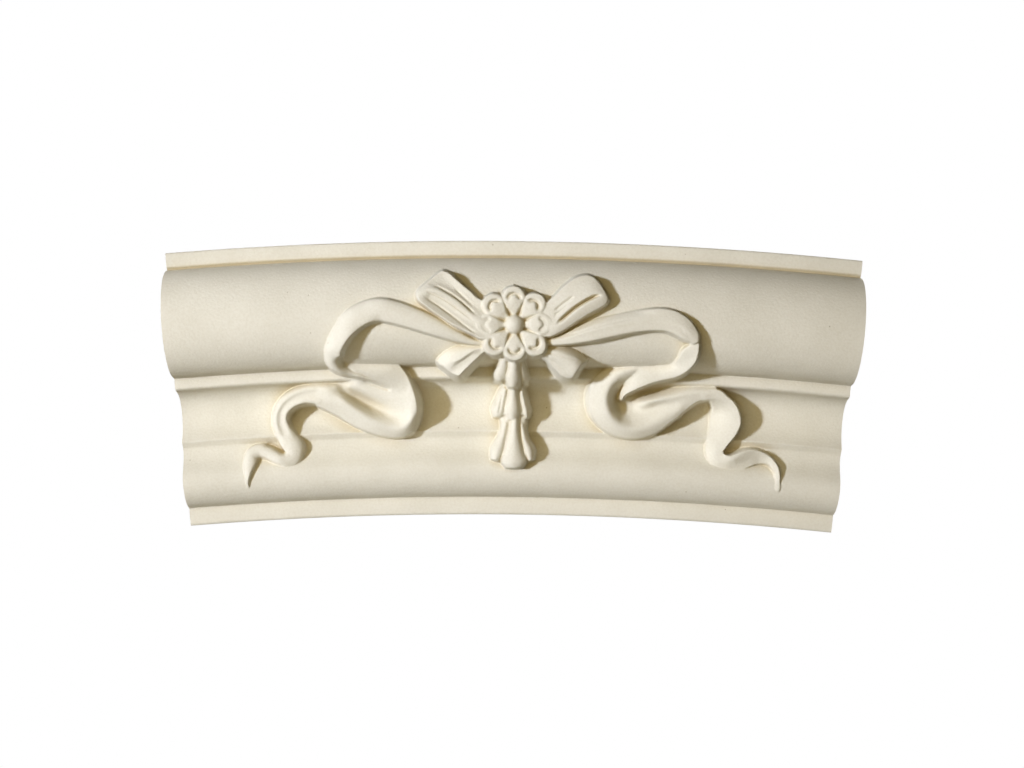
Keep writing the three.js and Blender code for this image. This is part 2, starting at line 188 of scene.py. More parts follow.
def trace(path, reach):
    """For each grid point within reach of a path: the nearest place on it, as a fractional index,
    the offset to its left, and how far the point lies past the path's ends."""
    nearest = np.full((ROWS, COLUMNS), np.inf)
    place = np.zeros((ROWS, COLUMNS))
    offset = np.zeros((ROWS, COLUMNS))
    past = np.zeros((ROWS, COLUMNS))
    last = len(path) - 2
    for i, (a, b) in enumerate(zip(path[:-1], path[1:])):
        low, high = np.minimum(a, b) - reach, np.maximum(a, b) + reach
        columns = slice(*np.searchsorted(ALONG, (low[0], high[0])))
        rows = slice(*np.searchsorted(-UP, (-high[1], -low[1])))
        dx = ALONG[None, columns] - a[0]
        dy = UP[rows, None] - a[1]
        ex, ey = b - a
        length = math.hypot(ex, ey)
        t = (dx * ex + dy * ey) / length ** 2
        kept = np.clip(t, 0, 1)
        square = (dx - kept * ex) ** 2 + (dy - kept * ey) ** 2
        better = square < nearest[rows, columns]
        side = (ex * dy - ey * dx) / length
        beyond = np.zeros_like(t)
        if i == 0:
            beyond = np.maximum(beyond, -t * length)
        if i == last:
            beyond = np.maximum(beyond, (t - 1) * length)
        across = np.where(beyond > 0, side, np.sign(side) * np.sqrt(square))
        nearest[rows, columns][better] = square[better]
        place[rows, columns][better] = (i + kept)[better]
        offset[rows, columns][better] = across[better]
        past[rows, columns][better] = beyond[better]
    return nearest, place, offset, past


# Places across a strip, from its right edge to its left edge.
ACROSS = np.linspace(-1, 1, 33)


def lay(field, stations):
    """Lays a strip on the field. A station is (along, up, half width, height above the back,
    cross-section)."""
    points = np.array([station[:4] for station in stations], float)
    sections = np.array([station[4] for station in stations], float)
    gaps = np.hypot(*np.diff(points[:, :2], axis=0).T)
    knots = np.concatenate([[0], np.cumsum(gaps)])
    places = np.linspace(0, knots[-1], max(8, int(knots[-1] / PATH_STEP)))
    smooth = through(knots, points, places)
    rows = through(knots, sections, places)
    table = through(np.linspace(-1, 1, rows.shape[1]), rows.T, ACROSS).T + smooth[:, 3:4]
    half = np.maximum(smooth[:, 2], LEAST_HALF_WIDTH)
    nearest, place, offset, past = trace(smooth[:, :2], half.max() + STRIP_MARGIN)
    touched = np.isfinite(nearest)
    s, d, e = place[touched], offset[touched], past[touched]
    i = np.minimum(s.astype(int), len(places) - 2)
    f = s - i
    width = half[i] * (1 - f) + half[i + 1] * f
    u = np.clip(d / width, -1, 1)
    j = np.minimum(((u + 1) / 2 * (len(ACROSS) - 1)).astype(int), len(ACROSS) - 2)
    g = (u + 1) / 2 * (len(ACROSS) - 1) - j
    height = ((table[i, j] * (1 - g) + table[i, j + 1] * g) * (1 - f)
              + (table[i + 1, j] * (1 - g) + table[i + 1, j + 1] * g) * f)
    outside = np.hypot(np.maximum(np.abs(d) - width, 0), e)
    field[touched] = np.maximum(field[touched], height - WALL_SLOPE * outside)


def sheet(field, edge, threads):
    """Lays a sheet inside a closed edge of (along, up) points, smooth over threads of (along, up,
    height above the back)."""
    corners = np.array(edge + edge[:1], float) + (BOW_ALONG, BOW_UP)
    knots = np.concatenate([[0], np.cumsum(np.hypot(*np.diff(corners, axis=0).T))])
    border = through(knots, corners, np.linspace(0, knots[-1], int(knots[-1] / PATH_STEP)))
    nearest, _, _, _ = trace(border, SHEET_MARGIN)
    low, high = border.min(axis=0) - SHEET_MARGIN, border.max(axis=0) + SHEET_MARGIN
    columns = slice(*np.searchsorted(ALONG, (low[0], high[0])))
    rows = slice(*np.searchsorted(-UP, (-high[1], -low[1])))
    x, y = np.meshgrid(ALONG[columns], UP[rows])
    within = np.zeros(x.shape, bool)
    for (ax, ay), (bx, by) in zip(border[:-1], border[1:]):
        if ay != by:
            within ^= ((ay > y) != (by > y)) & (x < ax + (y - ay) * (bx - ax) / (by - ay))
    outside = np.where(within, 0, np.sqrt(nearest[rows, columns]))
    posts = np.vstack([beads(thread) for thread in threads]) + (BOW_ALONG, BOW_UP, 0)
    bend = plate(np.hypot(*(posts[:, None, :2] - posts[None, :, :2]).transpose(2, 0, 1)))
    bend[np.diag_indices(len(posts))] += SHEET_EASE
    flat = np.column_stack([np.ones(len(posts)), posts[:, :2] / SHEET_SCALE])
    system = np.block([[bend, flat], [flat.T, np.zeros((3, 3))]])
    weights = np.linalg.solve(system, np.concatenate([posts[:, 2], np.zeros(3)]))
    height = weights[-3] + (weights[-2] * x + weights[-1] * y) / SHEET_SCALE
    for (px, py, _), weight in zip(posts, weights):
        height += weight * plate(np.hypot(x - px, y - py))
    field[rows, columns] = np.maximum(field[rows, columns], height - WALL_SLOPE * outside)


def beads(thread):
    """Points at even gaps along a thread."""
    thread = np.array(thread, float)
    knots = np.concatenate([[0], np.cumsum(np.hypot(*np.diff(thread[:, :2], axis=0).T))])
    return through(knots, thread, np.linspace(0, knots[-1], max(2, int(knots[-1] / BEAD_GAP))))


def plate(distance):
    """How far a thin plate bends at a distance from a push."""
    share = np.maximum(distance, 1e-6) / SHEET_SCALE
    return share ** 2 * np.log(share)


def blur(field, reach):
    """The field softened over so many millimetres."""
    radius = int(math.ceil(3 * reach / CELL))
    weights = np.exp(-0.5 * (np.arange(-radius, radius + 1) * CELL / reach) ** 2)
    weights /= weights.sum()
    padded = np.pad(field, radius, mode="edge")
    rows = sum(w * padded[i:i + field.shape[0], :] for i, w in enumerate(weights))
    return sum(w * rows[:, i:i + field.shape[1]] for i, w in enumerate(weights))


# Cross-sections, as heights at even steps from a strip's right edge to its left edge, seen
# along the way its stations run.
FLAT = (-1.2, -0.1, 0.2, 0.3, 0.2, -0.1, -1.2)
CROWNED = (-2.2, 0.2, 1.1, 1.4, 1.1, 0.2, -1.4)
ROUND = (-2.8, 0.1, 1.4, 1.9, 1.4, 0.1, -2.8)
RIGHT_LOW = (-8.5, -4.2, -1.2, 0.6, 1.8, 2.6, 2.6)
LEANING = (-5.0, -2.0, -0.2, 0.8, 1.2, 1.2, 0.6)
RIBBED = (0.0, 0.7, 0.8, 1.3, 0.2, -2.8, -6.0)
RIBBED_HIGH = (0.0, 0.7, 0.6, 0.9, 0.5, -0.2, -1.2)
CHANNEL = (-6.0, -1.6, -0.1, -0.9, -0.7, 0.5, 0.4)
BULGE = (-1.2, 0.2, 0.8, 0.9, 0.4, -0.6, -3.0)
CREASED = (-1.5, 0.2, 0.3, -0.4, -1.6, -3.2, -5.5)

# The ribbons, read off the photo, along and up from the rosette's centre in millimetres.
# A strip has stations of half width, height above the back and cross-section. A sheet has an
# edge, and threads with heights above the back that it follows. The left streamer goes round to
# the left, back under itself, and on, and the right one likewise to the right.
LEFT_BAND = [
    (-14, -14, 2, 72, FLAT), (-31.5, -15, 2.4, 74, FLAT), (-51.5, -7.6, 5.6, 76.5, CROWNED),
    (-68, -0.5, 7.6, 78, CROWNED), (-84.5, 6, 8.8, 78.5, CROWNED),
    (-99, 10.8, 9.5, 78.8, CROWNED), (-110.5, 13, 9.4, 78.8, CROWNED),
    (-121.5, 11.3, 9.4, 78.8, LEANING), (-132, 5.9, 9.4, 78.6, LEANING),
    (-141, -2.6, 8.8, 77.5, RIGHT_LOW), (-147.5, -12, 8.1, 75, RIGHT_LOW),
    (-151, -20.7, 7.4, 70.5, RIGHT_LOW), (-151, -27.8, 7, 63.5, RIGHT_LOW),
    (-146, -33, 5.6, 55.5, CREASED), (-138.5, -37, 4.2, 49.6, CREASED),
    (-131, -40, 3.2, 47.4, CREASED), (-124, -42.5, 2.4, 44.6, CREASED),
    (-116, -45.4, 1.4, 41.3, CREASED)]
LEFT_TURN_EDGE = [
    (-148, -29), (-140, -26.5), (-133, -25.3), (-125, -26.3), (-113, -27), (-103, -29),
    (-96, -34), (-91, -41), (-87.5, -49), (-84.5, -58), (-82.7, -67), (-82.5, -76), (-84, -85.5),
    (-88, -91.5), (-94, -94.8), (-101, -95.8), (-112, -94.3), (-122, -91.5), (-132, -87.5),
    (-142, -82), (-152, -75.5), (-161, -70), (-171, -64.5), (-176, -56), (-172, -45.5),
    (-160, -45.5), (-148, -45.6), (-140, -44.6), (-136.5, -42.5), (-137.5, -39), (-141, -36),
    (-148, -32)]
LEFT_TURN = [
    [(-146, -29, 51), (-138, -28.5, 49.5), (-127, -28, 47), (-115, -28, 46), (-104, -30.5, 45),
     (-96.5, -36, 43.5), (-91.5, -43, 42.5), (-88.2, -51, 42), (-85.8, -60, 41.5),
     (-84.8, -69, 41), (-85.5, -76, 40), (-88.5, -81, 38.8), (-93, -84.5, 37), (-99, -86.7, 35.3),
     (-106, -87.5, 34.2), (-115, -86.3, 34), (-124, -82.8, 34.2), (-132, -78, 34.4),
     (-140, -73, 34.6), (-153, -63.5, 34.8), (-162, -57.5, 33.8), (-170, -53.8, 32)],
    [(-83.4, -78, 37), (-85.1, -85.3, 32.5), (-88.7, -91, 29.8), (-94.5, -94.1, 29),
     (-102, -95.2, 28.8), (-112, -93.8, 28.8), (-122, -90.8, 29.3), (-132, -86.8, 29.8),
     (-145, -79.5, 30.3), (-157, -71.5, 31.3), (-168, -65, 32.5)],
    [(-142, -33, 50), (-130, -34, 47.8), (-118, -35, 47), (-108, -37.5, 46), (-100, -42, 44),
     (-95, -48, 41.8), (-92, -54, 39.8)],
    [(-136, -37.5, 48), (-128, -39.7, 46.3), (-118, -43.7, 43.8), (-108, -47.7, 41),
     (-99.5, -51, 39.5)],
    [(-134, -44.7, 36), (-128, -47.3, 35), (-122, -49.9, 34.3), (-113, -53.6, 34),
     (-104, -57, 35.5), (-97, -59, 37.5)],
    [(-141, -50, 31.5), (-132, -54, 30.8), (-122, -58.5, 30.3), (-113, -62.5, 30.3),
     (-104, -66, 31.8), (-96.5, -68.5, 34.8)],
    [(-147, -54.5, 28), (-138, -59.3, 23.8), (-130, -64, 22), (-121, -70, 22.3), (-113, -74, 25),
     (-106, -77, 28.3), (-99, -79, 31.3), (-93.5, -77.5, 34.3)],
    [(-153, -55.5, 33.5), (-146, -60, 34.5), (-138, -66.3, 34.8), (-130, -72, 34.6),
     (-121, -77.3, 33.9), (-112, -80.5, 33.3), (-105, -83, 33.5), (-98, -84, 34.5)],
    [(-172, -46.5, 28.5), (-158, -46.6, 28), (-146, -46.8, 28.5), (-140, -45.8, 31),
     (-136.5, -44, 34.5)],
    [(-170, -48.5, 30.8), (-160, -49, 32), (-153, -50.3, 31.5)]]
LEFT_HOLLOW = [
    (-160, -56, 6, 33, FLAT), (-166, -55, 8.6, 32.8, CHANNEL), (-173, -54.4, 8.8, 32.3, CHANNEL),
    (-184.2, -55.7, 7.7, 31.5, CHANNEL), (-195.2, -61, 7, 30.5, CHANNEL),
    (-202.3, -69.6, 6.7, 29.5, CHANNEL), (-203.7, -78, 7, 28.5, CHANNEL),
    (-201.2, -86.7, 7.6, 28, CHANNEL), (-196.3, -94.5, 8.4, 28.5, BULGE),
    (-191.8, -102, 8.6, 29.5, BULGE), (-191.8, -107.5, 7.6, 29.5, BULGE)]
LEFT_TAIL_END = [
    (-191, -103.5, 7.5, 29.7, BULGE), (-193, -109.5, 7.4, 30.3, BULGE),
    (-197.5, -111.8, 6.4, 31, BULGE), (-203.8, -110.4, 5.6, 31, ROUND),
    (-210.5, -106.8, 5.8, 29.5, ROUND), (-217, -103.6, 6, 28, ROUND),
    (-223, -102.6, 6.2, 27, ROUND), (-228, -105, 6.3, 28, CROWNED),
    (-231.3, -110.5, 5.8, 31, LEANING), (-233, -117, 4.6, 34, LEANING),
    (-233.6, -123.5, 2.8, 35, LEANING), (-233.4, -129, 1.2, 34.3, FLAT),
    (-233, -132, 0.5, 33, FLAT)]

RIGHT_BAND = [
    (14, -15, 2, 72, FLAT), (35.7, -13.5, 3.5, 74.5, FLAT), (53.8, -7, 7.5, 77, RIBBED),
    (70.6, -1.9, 8.8, 78.2, RIBBED), (86.3, 2.1, 8.8, 78.8, RIBBED), (101.4, 5.6, 9, 79, RIBBED),
    (115.9, 7.5, 9.2, 79.6, RIBBED_HIGH), (126.5, 7.3, 9.3, 80.2, RIBBED_HIGH),
    (136.1, 3.5, 8.8, 80.6, RIBBED_HIGH), (143.8, -2.6, 7.2, 80.2, RIBBED_HIGH),
    (147.8, -7, 5.4, 79.8, FLAT), (149.8, -10.4, 3, 79.2, FLAT)]
RIGHT_FACE_EDGE = [
    (147.3, -9.5), (142.9, -13), (139, -17), (137, -23), (132, -27.5), (122, -29.3), (108, -29.5),
    (100, -31), (98.5, -39), (93.5, -47), (89.5, -54), (87.5, -61), (90.5, -61.5), (93.5, -57),
    (100, -52.8), (109, -48.4), (119, -44.3), (128, -41.7), (137, -38.8), (144, -33.8),
    (149.5, -26.8), (151.8, -19.5), (152.3, -14), (151.8, -9.5)]
RIGHT_FACE = [
    [(147.4, -11, 77.2), (143.3, -13.3, 76), (139, -17, 72.5), (137.3, -23, 65.5),
     (132.5, -27.5, 54.5), (123, -29.5, 49.8), (110, -30, 47.5), (101, -33, 45.5),
     (98.5, -40, 41.5), (93.5, -48, 36.5), (90, -55, 32), (88, -61, 27.5)],
    [(151.6, -10.5, 77.8), (152, -15, 78), (151.5, -20, 77), (149.3, -26.8, 73.5),
     (144, -33.5, 64), (137, -38.5, 55.5), (128, -41.5, 51.5), (119, -44, 48.5), (109, -48, 45.3),
     (100, -52.4, 41.3), (93.3, -57, 35.8), (90.3, -61, 30.5)],
    [(149.4, -11, 77.8), (146.7, -16.5, 76.5), (143.8, -24, 70.5), (137, -31, 58.5),
     (125, -35.3, 51.5), (112, -38.5, 48.3), (103.5, -44.5, 44), (97, -51, 39), (92, -57.5, 33)]]
RIGHT_DISH_EDGE = [
    (120, -29.5), (108, -29), (97, -29.4), (88, -30.5), (78, -34), (70, -40), (65, -47),
    (62.5, -56), (62.5, -66), (65, -75), (70, -82.5), (78, -89), (88, -92.8), (98, -94.3),
    (108, -93.3), (117, -90.3), (125, -85.8), (132, -80), (141, -73), (150.1, -64),
    (160.2, -57.5), (169.5, -55.5), (176.1, -53), (172, -45.5), (158, -44.5), (143, -44),
    (131, -43.5), (128, -38), (126, -33)]
RIGHT_DISH = [
    [(120, -31.5, 46.5), (108, -31, 46.3), (98, -32, 45.6), (89, -35, 44.8), (81, -40.5, 43.4),
     (76, -48, 42), (73.6, -56, 40.8), (73.3, -65, 39.6), (76, -74, 38.3), (82, -80.5, 37),
     (90, -84.5, 35.8), (100, -86, 35), (110, -84.5, 34.2), (121, -79.5, 33.8),
     (131, -73.3, 33.8), (142, -67, 34.2)],
    [(108, -29.6, 45), (98, -30, 43.5), (88, -31.2, 41.5), (78, -35.2, 39), (69.5, -41.5, 37),
     (64.5, -50, 35), (63, -60, 33.5), (64, -70, 31.8), (68, -79, 30.5), (75, -86, 29.5),
     (84, -91, 29), (95, -93.5, 28.8), (107, -93, 29), (118, -89, 29.8), (130, -81, 31),
     (143, -69.5, 32.3), (153.8, -60.5, 33), (168.2, -56, 33.8)],
    [(101, -37, 44.8), (94, -39.5, 44.2), (87, -44, 43.2), (81.5, -50.5, 42), (79, -58, 40.6),
     (80, -66, 38.8), (84, -73, 36.5), (90, -78, 34)],
    [(100, -41, 40.5), (95, -45, 36.5), (90, -50, 32), (86.8, -56, 28), (86, -62, 25.5),
     (87.8, -68, 24.5), (92.5, -72, 25), (100, -74, 26.5)],
    [(92, -60, 24), (97, -64, 23), (102, -66.5, 23)],
    [(106.5, -63.3, 27.5), (109.9, -62, 30.5), (117, -59.8, 33), (125, -57.5, 34.3),
     (137, -54.5, 35.2), (150, -51.7, 35.6), (163, -50, 35.6), (170, -50.3, 35.2)],
    [(102, -60, 20.5), (109.9, -57, 20.5), (119.9, -54, 21.5), (128, -51, 23.5), (138, -48.3, 27),
     (151.9, -46.3, 30.5), (166, -46, 31.5)],
    [(106, -69, 25.5), (112, -67, 28), (121, -63.8, 30.3), (133, -60.5, 33.3), (146, -56.5, 34.8),
     (158.1, -53.3, 35.2)],
    [(100, -79, 30.5), (109, -77, 30.5), (119, -72.5, 31), (130, -67.5, 32.6), (141, -63, 34)]]
RIGHT_DROP_EDGE = [
    (160, -50), (170, -47.3), (178, -48.3), (184, -53), (190, -58), (193.5, -64), (195.3, -70.5),
    (195, -77.5), (192, -84), (187, -91), (182.3, -97), (180.3, -101.5), (184, -103.5),
    (190, -102.3), (196, -99.3), (203, -97), (210, -97), (217, -99), (223, -103), (227.5, -108.5),
    (229.5, -115), (229.5, -122), (228.3, -130.5), (226.8, -130.5), (225.5, -122), (224, -114),
    (219, -109), (212, -109), (204, -111.7), (196, -115), (187, -117), (178, -116.3),
    (170.5, -112.8), (166, -106.5), (165.1, -99), (167.1, -90), (169.5, -80), (171, -70),
    (172.2, -62.5), (169.4, -57.5), (160.4, -57.8)]
RIGHT_DROP = [
    [(162, -50, 35.3), (172, -49.5, 35.5), (180, -52, 35.3), (186.5, -56.5, 34.8),
     (191.5, -63, 34), (193.8, -70, 33), (193.5, -77, 32), (190.5, -83.5, 31.3),
     (185.5, -90.5, 30.8), (180.8, -96.5, 30.5), (178.8, -101.5, 30.3), (180, -106, 31.3),
     (187, -107, 32.8), (195, -103.5, 33), (203, -100.5, 32), (211, -99.7, 30.8),
     (218, -101.5, 30), (223.5, -106, 31), (227, -112, 33), (228.3, -119, 34), (228, -129, 33)],
    [(163.2, -56.8, 34), (169.7, -57.8, 32.5), (172.8, -63, 24), (171.7, -70, 18),
     (170.2, -80, 18.5), (168.1, -90, 22.5), (166.4, -98, 23), (167.2, -105.5, 25),
     (171, -111.5, 27), (178, -115.3, 27.5), (187, -116, 28), (196, -114, 28.5),
     (204, -111, 28.5), (212, -108.3, 27.5), (219, -108.3, 28), (223.5, -114, 31),
     (225.5, -121, 33), (227, -129, 33)],
    [(168, -55, 34.5), (177, -58, 32.5), (182, -65, 28.5), (182.5, -72, 26.5), (180.5, -80, 26),
     (176.5, -88, 26.5), (173, -95, 27.5), (171.5, -101, 28.3), (174, -107.5, 29.3),
     (181, -110.5, 30.3), (189, -110.5, 30.5), (197, -107.5, 30.5), (205, -104.5, 30),
     (213, -103.7, 29), (219, -105.5, 29.3), (224, -110.5, 31.5)]]
LEFT_LOOP_EDGE = [
    (-20, 18), (-29.5, 21.5), (-36, 27.5), (-42, 32.5), (-48, 38), (-54, 43.3), (-59, 45),
    (-63, 42.8), (-69, 37.8), (-74.5, 33), (-78.5, 29.3), (-80.2, 25.5), (-79.3, 21.5),
    (-73, 15.5), (-66, 10.2), (-58, 4.7), (-50, -0.8), (-42, -5), (-34, -9), (-26, -12.5),
    (-18, -10)]
LEFT_LOOP = [
    [(-22, 18, 77.5), (-30, 20.7, 77.3), (-36, 26.7, 77), (-42, 31.8, 76.3), (-48, 37.2, 75),
     (-54, 42.3, 73.3), (-59, 43.8, 72.5), (-63, 41.8, 73), (-69, 37, 74.5), (-74.5, 32.2, 76.5),
     (-78, 29, 78)],
    [(-26, 10.5, 77.5), (-33, 13.5, 77.3), (-40, 20, 77), (-47, 25.5, 76.6), (-55, 30.5, 76),
     (-63, 34, 75.5), (-70, 33.7, 76.3)],
    [(-28, 3, 80), (-36, 8.5, 80.6), (-43, 14.6, 81), (-50, 20.3, 81.2), (-57, 24.8, 81.2),
     (-65, 28.2, 81), (-71, 29, 80.5), (-76.5, 27.5, 79.8)],
    [(-30, -1, 79), (-38, 3.5, 78.6), (-46, 9.3, 78.2), (-54, 15.5, 78.2), (-62, 20.8, 78.4),
     (-69, 24.3, 79)],
    [(-27, -10.5, 80), (-35, -6.8, 80.8), (-43, -2.6, 81.3), (-51, 1.7, 81.8), (-59, 7.2, 82),
     (-67, 12.6, 82), (-73.5, 17.6, 81.8), (-78, 22.5, 81)]]
RIGHT_LOOP_EDGE = [
    (20, 16), (30, 22.3), (34, 26.5), (38.5, 31.5), (44, 36.3), (49, 40), (54, 42), (59, 42.7),
    (64, 41.2), (68.5, 37), (72, 31.8), (75, 26.8), (76.5, 22.5), (74.3, 18.2), (67, 13.3),
    (59, 8.6), (51, 2.8), (44, -2.2), (36, -7.3), (28, -10), (20, -8)]
RIGHT_LOOP = [
    [(22, 17, 77.5), (30, 21.8, 77.3), (38, 30, 77), (44, 35, 76.3), (50, 39, 75), (55, 41, 74),
     (60, 41.8, 73.3), (64.5, 40, 73.8), (68.3, 36, 75), (71.8, 31, 77), (74.5, 26.5, 78.5)],
    [(28, 12, 79), (36, 18, 79), (44, 25, 78.6), (52, 31, 77.8), (60, 35, 76.6), (66, 33.5, 77),
     (71, 28.8, 78)],
    [(33, 4.5, 79.5), (41, 11.5, 80.5), (49, 18.5, 80.8), (57, 24.5, 80.4), (64, 28.3, 79.6),
     (69.5, 28.8, 79)],
    [(28, -6, 79), (35, -2, 80.5), (43, 4, 81.5), (51, 11, 82), (59, 17, 82), (67, 21.8, 81.5),
     (73, 24, 80.3)],
    [(36, -6.8, 78.5), (44, -1.5, 79.3), (52, 4, 79.8), (60, 9.8, 80), (68, 14.5, 79.8),
     (74, 18.8, 79.3), (76, 22.5, 79)]]
LEFT_TAIL_EDGE = [
    (-24, -16), (-31, -16.5), (-38, -16.2), (-46, -17.3), (-54, -20.3), (-60.5, -24.5),
    (-64.8, -30.2), (-58, -36), (-51.5, -41), (-46, -42.8), (-41, -38.3), (-34, -31.3),
    (-27, -25), (-22, -20)]
LEFT_TAIL = [
    [(-24, -16, 70), (-31, -17, 69.5), (-38, -16.7, 68), (-46, -17.8, 66), (-54, -21, 63.5),
     (-60, -25, 61), (-64, -30, 58.5)],
    [(-24, -17.5, 73), (-31, -20.3, 73.3), (-38, -24.3, 72.8), (-45, -28.8, 71.8), (-52, -32, 70),
     (-60, -33, 65)],
    [(-28, -22.3, 72.3), (-35, -27.8, 70.8), (-43, -34, 69), (-51, -38.3, 66.5)],
    [(-26.5, -24, 72), (-33.5, -30.6, 71.5), (-40.3, -37.3, 70.3), (-46, -42, 68.5)]]
RIGHT_TAIL_EDGE = [
    (20, -20), (28, -17), (36, -17), (45, -18), (53, -21), (59, -25.5), (61, -28), (56, -33),
    (52, -39), (48.8, -43.8), (42, -43), (35, -37.3), (27, -29.5), (20, -25)]
RIGHT_TAIL = [
    [(22, -18.5, 70), (30, -17.5, 69), (38, -17.7, 67.5), (46, -19, 66), (53.5, -22, 63.8),
     (59.5, -26.5, 61.5)],
    [(22, -20.5, 73.5), (30, -20.5, 72.5), (38, -21, 72), (46, -23, 70.8), (53, -26.3, 69),
     (58, -29.5, 67)],
    [(22, -23, 73), (30, -26.3, 72), (38, -31.5, 70.5), (45, -37.5, 68.7), (49.5, -41.5, 67.3)],
    [(22, -25, 70.5), (28, -29.5, 68), (35, -36, 66), (42, -42, 64), (48, -43.4, 64)]]

# The bell-flowers, as strips: first what lies behind the lobes of each tier, then the lobes, tier
# by tier, each from its top to its foot.
BELL_LOBES = [
    [(-0.8, -26, 8, 65, FLAT), (-1.4, -36, 9.5, 58.5, FLAT), (-1.8, -45, 10.5, 51, FLAT)],
    [(-0.6, -50, 9, 36, FLAT), (-0.9, -64, 10.5, 34, FLAT), (-1, -76, 12.5, 32.5, FLAT)],
    [(0.2, -75, 11.5, 30.5, FLAT), (0.4, -84, 10.5, 31, FLAT), (0.2, -96, 12, 34, FLAT),
     (0, -111, 16, 38, FLAT)],
    [(-7.5, -28, 3.8, 64, ROUND), (-9.3, -37, 5, 57.5, ROUND), (-11.7, -44.5, 5.4, 50, ROUND),
     (-12.4, -47.3, 3.4, 47, ROUND)],
    [(5.7, -29, 2.5, 62, ROUND), (7, -38, 2.7, 57, ROUND), (8.6, -46, 2.6, 50, ROUND),
     (9, -48.5, 1.2, 47, ROUND)],
    [(0.4, -26, 4.8, 69, ROUND), (0.2, -36, 4.6, 63, ROUND), (-0.3, -47, 5.8, 55.5, ROUND),
     (-0.4, -52.3, 3.8, 52, ROUND)],
    [(-6.8, -53, 3.4, 35.5, ROUND), (-9.6, -63, 4.6, 33.5, ROUND),
     (-12.2, -73.5, 5.6, 32.5, ROUND), (-12.8, -78, 4, 30.5, ROUND)],
    [(6.7, -55, 2.2, 35, ROUND), (8.9, -65, 2.6, 33, ROUND), (11.2, -75, 3, 31.5, ROUND),
     (11.8, -78.8, 1.6, 29.5, ROUND)],
    [(-0.3, -49, 4.2, 41, ROUND), (-0.4, -60, 4.6, 37, ROUND), (-0.8, -74, 6.5, 36, ROUND),
     (-0.9, -80.4, 4.8, 33.5, ROUND)],
    [(-6.2, -83, 3, 30, ROUND), (-9, -96, 4.2, 33.5, ROUND), (-13.4, -109, 5.8, 37.5, ROUND),
     (-15.4, -115, 4.2, 37.5, ROUND)],
    [(7, -83, 2.8, 30, ROUND), (9.8, -97, 3.6, 34, ROUND), (14.2, -109.5, 4.8, 38, ROUND),
     (15.6, -114.8, 3.4, 37, ROUND)],
    [(1.4, -78, 3.8, 33, ROUND), (1.2, -92, 4.6, 36, ROUND), (1, -108, 8.6, 41, ROUND),
     (1, -117, 10.6, 42.5, ROUND), (1, -121.4, 7.5, 40.5, ROUND)]]

# The rosette: a bed, eight spoon-shaped petals and a boss, turned by some degrees. Shares are of
# a petal's length, and the lengths go from the top petal round to the right.
ROSETTE = {
    "bed_radius": 24.0, "bed_height": 72.5, "turn": -1.5,
    "boss_radius": 8.1, "boss_height": 83.7, "boss_rise": 8.0}
PETAL = {
    "lengths": (32.5, 33.5, 31.5, 34, 30.5, 33, 31.5, 33.5),
    "half_width": 10.3, "widest_share": 0.66, "taper": 1.35, "root": 4,
    "rim_height": 79.6, "rim_drop": 2.2, "rim_width": 1.1,
    "tongue_share": 0.64, "tongue_radius": 4.7, "tongue_rise": 1.2,
    "crescent_depth": 2.7, "crescent_width": 1.35,
    "neck_share": 0.46, "neck_run": 0.2, "neck_depth": 1.8}

# The right streamer's sheets were read off a grid that leaned, so their places move sideways by
# a share of how far they lie below a level.
FACE_LEAN = {"share": 0.04, "level": -5}
DROP_LEAN = {"share": 0.08, "level": -50}


def upright(points, lean):
    """Points read off the leaning grid, moved to their places in tenths of a millimetre."""
    return [(round(along + lean["share"] * (lean["level"] - up), 1), up, *height)
            for along, up, *height in points]


def upright_sheet(edge, threads, lean):
    """A sheet's edge and threads, read off the leaning grid, at their places."""
    return upright(edge, lean), [upright(thread, lean) for thread in threads]


STRIPS = (LEFT_BAND, LEFT_HOLLOW, LEFT_TAIL_END, RIGHT_BAND)
SHEETS = (
    (LEFT_LOOP_EDGE, LEFT_LOOP), (RIGHT_LOOP_EDGE, RIGHT_LOOP),
    (LEFT_TAIL_EDGE, LEFT_TAIL), (RIGHT_TAIL_EDGE, RIGHT_TAIL), (LEFT_TURN_EDGE, LEFT_TURN),
    upright_sheet(RIGHT_DISH_EDGE, RIGHT_DISH, FACE_LEAN),
    upright_sheet(RIGHT_FACE_EDGE, RIGHT_FACE, FACE_LEAN),
    upright_sheet(RIGHT_DROP_EDGE, RIGHT_DROP, DROP_LEAN))


